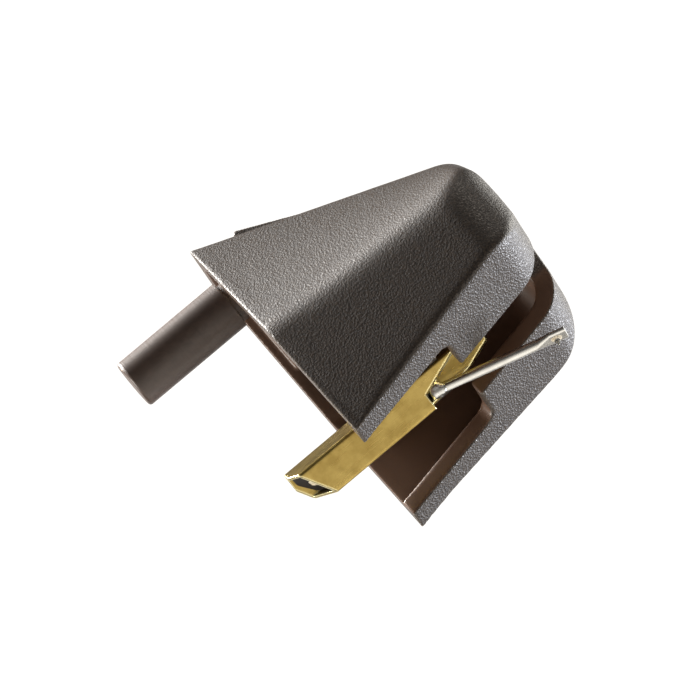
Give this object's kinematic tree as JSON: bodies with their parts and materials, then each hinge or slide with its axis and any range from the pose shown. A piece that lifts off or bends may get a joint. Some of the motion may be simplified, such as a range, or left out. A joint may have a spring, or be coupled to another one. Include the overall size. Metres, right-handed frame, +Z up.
{
  "type": "turntable stylus",
  "caption": "Replacement turntable stylus: wedge hood with slotted underside, magnet rod, square brass shank, and a sprung aluminium cantilever with a diamond tip.",
  "frame": {"origin": "on the shank's axis, in the plane of the hood's rear rim", "axes": "+X forward along the shank towards the nose, +Y to the left, +Z up as the stylus plays"},
  "size_m": [0.0158, 0.011, 0.0135],
  "materials": {
    "moulded_plastic": "spark-grained satin",
    "magnet": "ground, dark",
    "adhesive": "cured resin",
    "shank_brass": "drawn, satin",
    "rubber": "matt",
    "soft_iron": "plain",
    "cantilever_aluminium": "drawn, bright",
    "diamond": "polished"
  },
  "bodies": {
    "body": {"hood": "moulded_plastic", "magnet_rod": "magnet", "rod_adhesive": "adhesive", "shank_tube": "shank_brass", "rear_plug": "rubber"},
    "pivot": {"damper": "rubber"},
    "moving_system": {"armature": "soft_iron", "cantilever": "cantilever_aluminium", "root_collar": "cantilever_aluminium", "diamond_tip": "diamond", "tip_cement": "adhesive"}
  },
  "joints": [
    {"name": "sideways_swing", "type": "hinge", "parent": "body", "child": "pivot", "pos_m": [0.0019, 0, 0], "axis": [0, 0, 1], "range_deg": [-3, 3], "stiffness_Nm_per_rad": 0.004},
    {"name": "up_down_swing", "type": "hinge", "parent": "pivot", "child": "moving_system", "pos_m": [0.0019, 0, 0], "axis": [0, -1, 0], "range_deg": [-3, 4], "stiffness_Nm_per_rad": 0.004}
  ]
}
